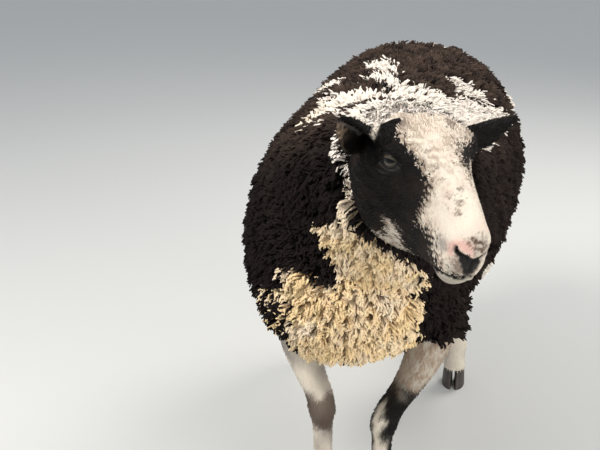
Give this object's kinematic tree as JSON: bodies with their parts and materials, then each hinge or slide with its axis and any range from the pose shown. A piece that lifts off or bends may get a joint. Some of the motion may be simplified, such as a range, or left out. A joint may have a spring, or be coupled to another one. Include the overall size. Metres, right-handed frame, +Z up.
{
  "type": "life-size still model of a dutch spotted sheep",
  "caption": "Standing pied ewe in full fleece, head turned to her left, life size, as a still museum model.",
  "frame": {"origin": "middle of her outline on the floor", "axes": "she faces -Y, her left side is +X, +Z is up"},
  "size_m": [0.5319, 1.3521, 0.8648],
  "materials": {
    "fleece": "dense crimped wool in short staples, nearly black-brown with cream patches",
    "face_hair": "short flat hair, black cheek and white blaze, pink bare nose",
    "leg_hair": "short flat hair, pale cream with brown and black patches",
    "ear_hair": "short dark hair with paler hair inside",
    "eye": "clear wet cornea over an olive iris with a level slot pupil",
    "hoof_horn": "dull dark horn"
  },
  "bodies": {
    "root": {"torso": "fleece", "neck": "fleece", "tail": "fleece", "head": "face_hair", "ear_left": "ear_hair", "ear_right": "ear_hair", "eye_left": "eye", "eye_right": "eye", "foreleg_right": "leg_hair", "foreleg_left": "leg_hair", "hindleg_right": "leg_hair", "hindleg_left": "leg_hair", "forehoof_right_left_claw": "hoof_horn", "forehoof_right_right_claw": "hoof_horn", "forehoof_left_left_claw": "hoof_horn", "forehoof_left_right_claw": "hoof_horn", "hindhoof_right_left_claw": "hoof_horn", "hindhoof_right_right_claw": "hoof_horn", "hindhoof_left_left_claw": "hoof_horn", "hindhoof_left_right_claw": "hoof_horn"}
  },
  "joints": []
}
